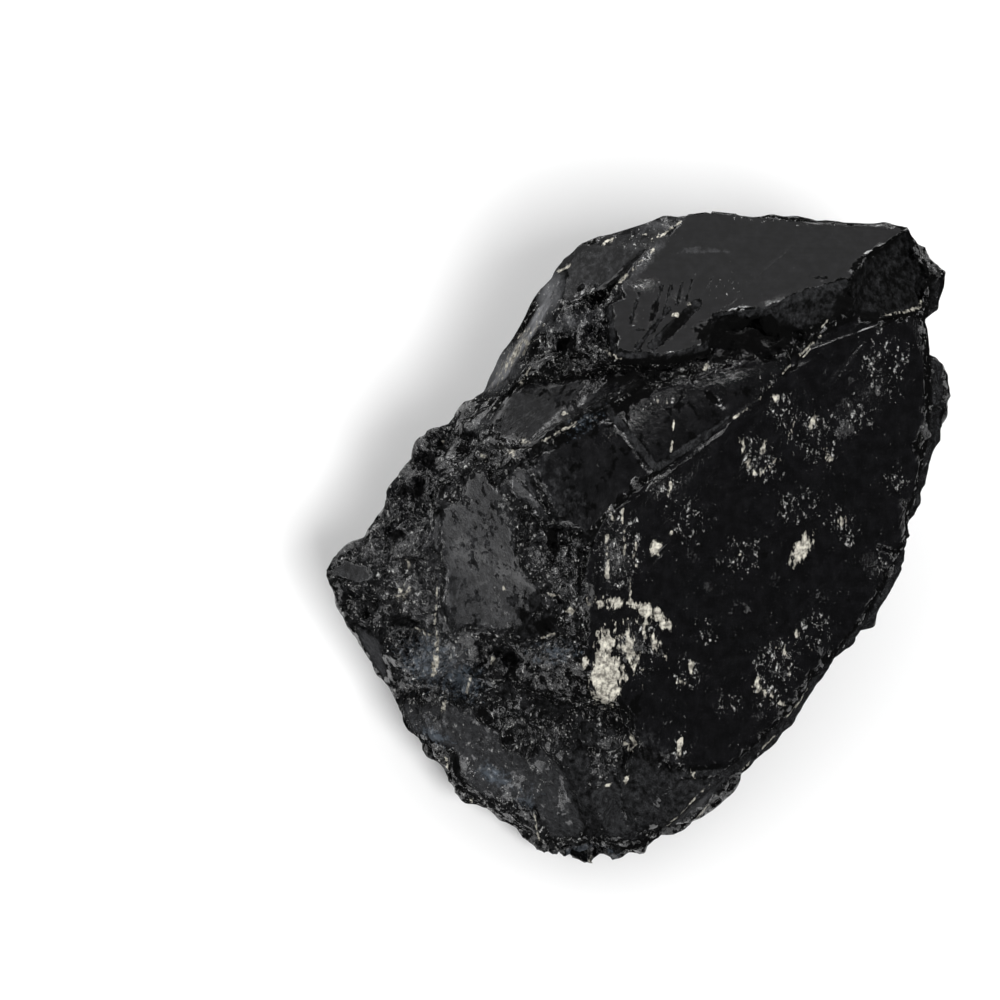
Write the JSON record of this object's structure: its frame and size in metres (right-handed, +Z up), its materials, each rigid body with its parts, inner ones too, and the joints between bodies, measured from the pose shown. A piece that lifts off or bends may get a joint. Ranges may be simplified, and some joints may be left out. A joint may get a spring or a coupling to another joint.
{
  "type": "rough black tourmaline stone",
  "caption": "Rough chunk of black tourmaline with flat striated prism faces, a broken shelf, granular breaks and a flat underside to rest on.",
  "frame": {"origin": "middle of the bounding box's underside, on the plane that the stone rests on", "axes": "+Z up from the resting face; +X to the right along the longest extent; +Y away from the viewer, so the broad leaning front looks towards -Y and up"},
  "size_m": [0.0926, 0.085, 0.0644],
  "materials": {
    "schorl": "glassy black, broken, with pale mineral crusts"
  },
  "bodies": {
    "root": {"tourmaline_stone": "schorl"}
  },
  "joints": []
}
